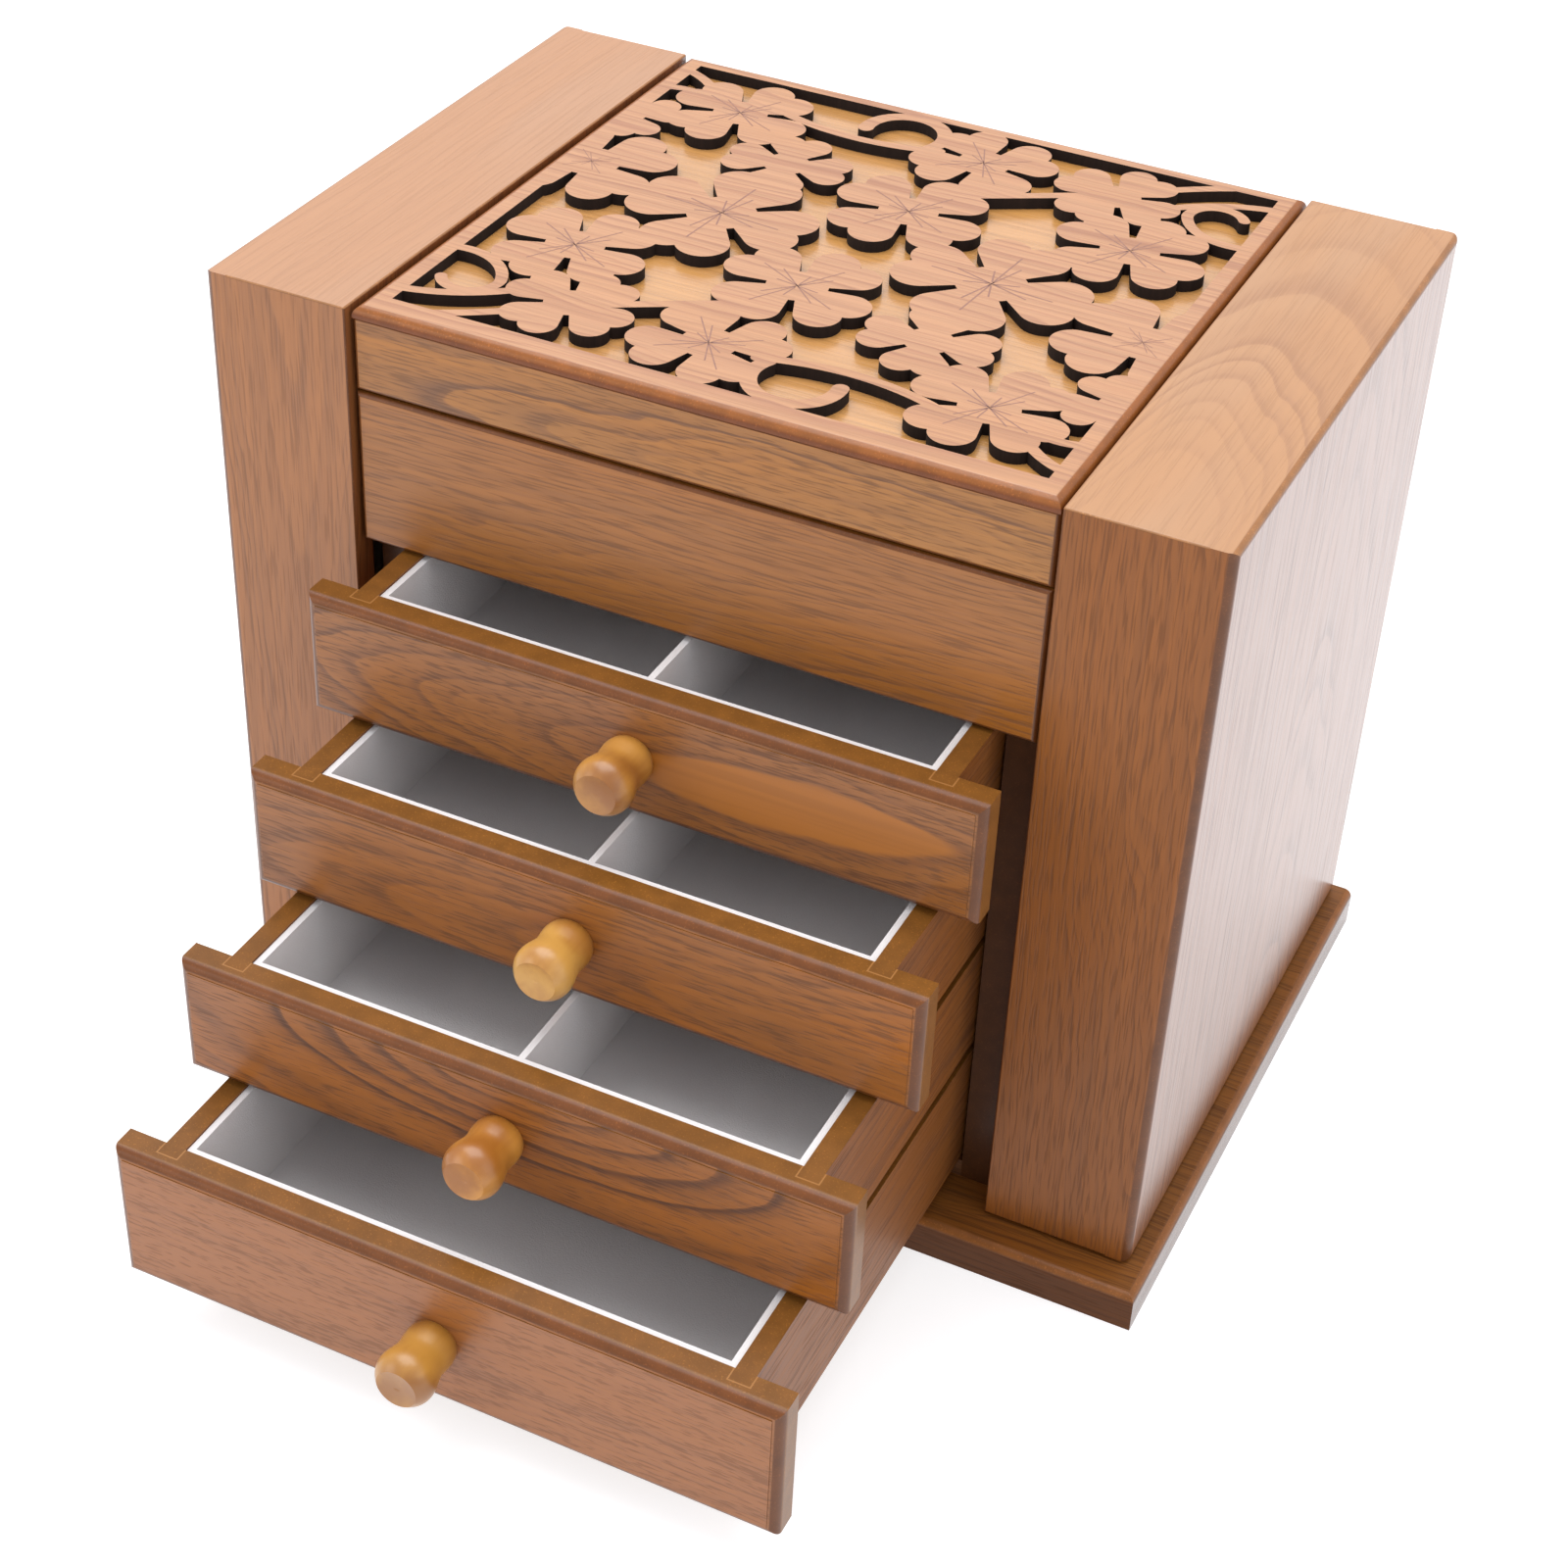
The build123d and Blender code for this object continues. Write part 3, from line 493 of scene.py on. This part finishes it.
for across, along, turn, size in veined:
    for sign, half_turn in ((1.0, 0.0), (-1.0, 180.0)):
        bpy.ops.object.select_all(action="DESELECT")
        star.select_set(True)
        bpy.context.view_layer.objects.active = star
        bpy.ops.object.duplicate(linked=False)
        copy = bpy.context.active_object
        right = field_middle[0] + sign * across * field_half[0]
        back = field_middle[1] + sign * along * field_half[1]
        copy.location = (right, back, sheet_high[2] + film_lift)
        copy.rotation_euler = (0.0, 0.0, math.radians(turn + half_turn))
        copy.scale = (size * field_half[0], size * field_half[0], 1.0)
        stars.append(copy)
bpy.data.objects.remove(star)
bpy.ops.object.select_all(action="DESELECT")
for copy in stars:
    copy.select_set(True)
veins = stars[0]
bpy.context.view_layer.objects.active = veins
bpy.ops.object.join()
bpy.ops.object.transform_apply(location=True, rotation=True, scale=True)
veins.name = "lid_veins"
smoke_waves = 700.0
scorch_dark = (0.17, 0.082, 0.066)
scorch_pale = (0.36, 0.185, 0.125)
scorch, tree, shader = finish_start("scorched_line")
smoke = noise(tree, add(tree, "ShaderNodeTexCoord").outputs["Object"], smoke_waves, 3.0)
tree.links.new(blended(tree, smoke, scorch_dark, scorch_pale), shader.inputs["Base Color"])
tree.links.new(times_plus(tree, smoke, 0.3, 0.45), shader.inputs["Roughness"])
veins.data.materials.append(scorch)
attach(veins, "lid")

# Lid panel. A thin board under the fretwork, faced with golden veneer under thick
# clear lacquer, which shows through the cut-outs.
panel_edge = (0.30, 0.13, 0.03)
lacquer_index = 1.9
golden_leaf = dict(
    grain="XYZ", light=(0.580, 0.285, 0.090), dark=(0.470, 0.210, 0.054), warm=(0.590, 0.285, 0.076),
    seed=67.0, ring=0.0045, heart=(0.4, 0.1), rise=0.06, figure=0.4, dash=0.030, pores=0.12)
golden = veneer("golden_veneer", {"Z": golden_leaf}, panel_edge, gloss=0.22, coat=1.0)
golden.node_tree.nodes["Principled BSDF"].inputs["Coat IOR"].default_value = lacquer_index
finish(nodes["lid_panel"], golden)

# Mirror in the underside of the lid. Silvered glass held in a rebate, with a faint
# haze on it.
haze_waves = 30.0
clear_silver = (0.90, 0.92, 0.92)
hazy_silver = (0.84, 0.87, 0.87)
mirror_glass, tree, shader = finish_start("mirror_glass")
haze = noise(tree, add(tree, "ShaderNodeTexCoord").outputs["Object"], haze_waves, 4.0)
tree.links.new(ramp(tree, haze, (0.0, 0.01), (0.55, 0.015), (0.8, 0.06)), shader.inputs["Roughness"])
tree.links.new(blended(tree, haze, clear_silver, hazy_silver), shader.inputs["Base Color"])
shader.inputs["Metallic"].default_value = 1.0
finish(nodes["lid_mirror"], mirror_glass)

# Drawer fronts and boxes. Veneered boards with rounded front edges, each leaf cut from
# another part of the log, so the figure differs from drawer to drawer. The sides are
# let into the fronts, and a pale line of bare wood shows round each joint.
front_leaves = (
    dict(light=(0.295, 0.106, 0.021), dark=(0.150, 0.052, 0.016), warm=(0.370, 0.124, 0.012), ring=0.0034,
         heart=(0.045, 0.1580), rise=0.17, figure=0.7, island=0.0085, dash=0.007, pores=0.55),
    dict(light=(0.310, 0.106, 0.017), dark=(0.160, 0.055, 0.014), warm=(0.370, 0.112, 0.007), ring=0.0030,
         heart=(0.35, 0.1125), rise=0.07, figure=0.6, dash=0.009, pores=0.50),
    dict(light=(0.300, 0.100, 0.016), dark=(0.085, 0.027, 0.008), warm=(0.350, 0.108, 0.008), ring=0.0078,
         heart=(0.005, 0.104), rise=0.46, figure=0.95, dash=0.008, pores=0.45),
    dict(light=(0.310, 0.108, 0.026), dark=(0.195, 0.070, 0.021), warm=(0.310, 0.105, 0.021), ring=0.0020,
         heart=(0.60, 0.0145), rise=0.050, figure=0.3, streaks=0.35, dash=0.005, pores=0.38),
)
box_leaf = dict(
    grain="YZX", light=(0.250, 0.084, 0.014), dark=(0.140, 0.046, 0.010), warm=(0.260, 0.084, 0.011),
    seed=71.0, ring=0.0040, heart=(0.4, 0.0), rise=0.05)
box_ash = veneer("drawer_box_ash", {"X": box_leaf}, front_edge, front_lit_rim, front_flat, gloss=0.50, coat=0.08)
side_thickness = 0.006
joint_depth = 0.004
line_width = 0.0004
pale_line = (0.34, 0.155, 0.045)
side_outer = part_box("drawer_1_box")[1][0]
side_inner = side_outer - side_thickness
for number, leaf in enumerate(front_leaves, start=1):
    front = nodes[f"drawer_{number}_front"]
    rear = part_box(front.name)[1][1]
    leaf = dict(grain="XZY", seed=80.0 + 7.0 * number, **leaf)
    front_ash = veneer(f"drawer_{number}_ash", {"Y": leaf}, front_edge, front_lit_rim, front_flat, coat=0.18)
    tree = front_ash.node_tree
    shader = tree.nodes["Principled BSDF"]
    across, deep = place_on(tree)[:2]
    outwards = maths(tree, "ABSOLUTE", across)
    near = maths(tree, "GREATER_THAN", outwards, side_inner - line_width)
    near = times(tree, near, maths(tree, "LESS_THAN", outwards, side_outer + line_width))
    near = times(tree, near, maths(tree, "GREATER_THAN", deep, rear - joint_depth - line_width))
    surface = shader.inputs["Base Color"].links[0].from_socket
    tree.links.new(blended(tree, near, surface, pale_line), shader.inputs["Base Color"])
    finish(front, front_ash)
    finish(nodes[f"drawer_{number}_box"], box_ash)

# Knobs. Turned from a pale hardwood, stained honey and lacquered, and screwed on
# from behind the drawer front.
knob_grain_waves = (40.0, 420.0, 420.0)
stain_waves = 75.0


def turned_wood(name, light, dark, seed):
    """Lacquered wood with soft clouds of stain and a faint grain along the knob."""
    material, tree, shader = finish_start(name)
    across, deep, up = place_on(tree)
    grain = stretched(tree, (deep, across, up), knob_grain_waves, seed, 3.0)
    cloud = noise(tree, add(tree, "ShaderNodeTexCoord").outputs["Object"], stain_waves, 1.0)
    stain = times_plus(tree, cloud, 0.9, times(tree, grain, 0.2))
    colour = blended(tree, ramp(tree, stain, (0.38, 0.0), (0.74, 1.0)), light, dark)
    tree.links.new(colour, shader.inputs["Base Color"])
    tree.links.new(times_plus(tree, grain, 0.12, 0.28), shader.inputs["Roughness"])
    raised(tree, shader, grain, strength=0.10, distance=0.0002)
    shader.inputs["Coat Weight"].default_value = 0.5
    shader.inputs["Coat Roughness"].default_value = 0.33
    return material


knob_tones = (
    ((0.49, 0.225, 0.038), (0.27, 0.096, 0.013)),
    ((0.57, 0.300, 0.062), (0.37, 0.150, 0.022)),
    ((0.55, 0.240, 0.036), (0.32, 0.112, 0.012)),
    ((0.45, 0.215, 0.034), (0.28, 0.105, 0.012)),
)
for number, (light, dark) in enumerate(knob_tones, start=1):
    knob_wood = turned_wood(f"knob_{number}_wood", light, dark, 90.0 + 5.0 * number)
    finish(nodes[f"drawer_{number}_knob"], knob_wood)

# Studio. A pale floor that glows a little, so that it runs into the white air around,
# a broad light overhead and a weaker one on either side.
floor_size = 8.0
bpy.ops.object.select_all(action="DESELECT")
bpy.ops.mesh.primitive_plane_add(size=floor_size, location=(0.0, 0.0, 0.0))
floor = bpy.context.active_object
floor.name = "studio_floor"
paper, tree, shader = finish_start("studio_paper")
shader.inputs["Base Color"].default_value = (0.50, 0.50, 0.51, 1.0)
shader.inputs["Roughness"].default_value = 0.9
shader.inputs["Emission Color"].default_value = (1.0, 1.0, 1.0, 1.0)
shader.inputs["Emission Strength"].default_value = 0.70
floor.data.materials.append(paper)

world = bpy.data.worlds.new("studio_air")
world.use_nodes = True
air = world.node_tree.nodes["Background"]
air.inputs["Color"].default_value = (0.96, 0.95, 1.0, 1.0)
air.inputs["Strength"].default_value = 0.85
bpy.context.scene.world = world

# Each lamp's name, its place, the point it is aimed at, its width and its power.
lamps = (
    ("overhead", (-0.25, 0.25, 1.9), (0.0, 0.0, 0.1), 1.8, 35.0),
    ("right_fill", (1.6, -0.5, 0.9), (0.0, -0.1, 0.1), 1.2, 3.0),
    ("left_fill", (-1.5, -1.4, 0.9), (0.0, -0.05, 0.12), 1.2, 8.0),
)
for name, spot, aim, size, power in lamps:
    bpy.ops.object.light_add(type="AREA", location=spot)
    lamp = bpy.context.active_object
    lamp.name = name
    lamp.data.size = size
    lamp.data.energy = power
    reach = [to - start for to, start in zip(aim, spot)]
    level = math.hypot(reach[0], reach[1])
    lamp.rotation_euler = (math.atan2(level, -reach[2]), 0.0, math.atan2(-reach[0], reach[1]))

camera_place = (0.2897, -0.6678, 0.6096)
camera_turn = (53.362, -2.275, 25.845)
camera_lens = 67.24
bpy.ops.object.camera_add(location=camera_place, rotation=tuple(math.radians(turn) for turn in camera_turn))
camera = bpy.context.active_object
camera.data.sensor_width = 36.0
camera.data.lens = camera_lens
camera.data.clip_end = 20.0
bpy.context.scene.camera = camera
bpy.context.scene.view_settings.view_transform = "Standard"
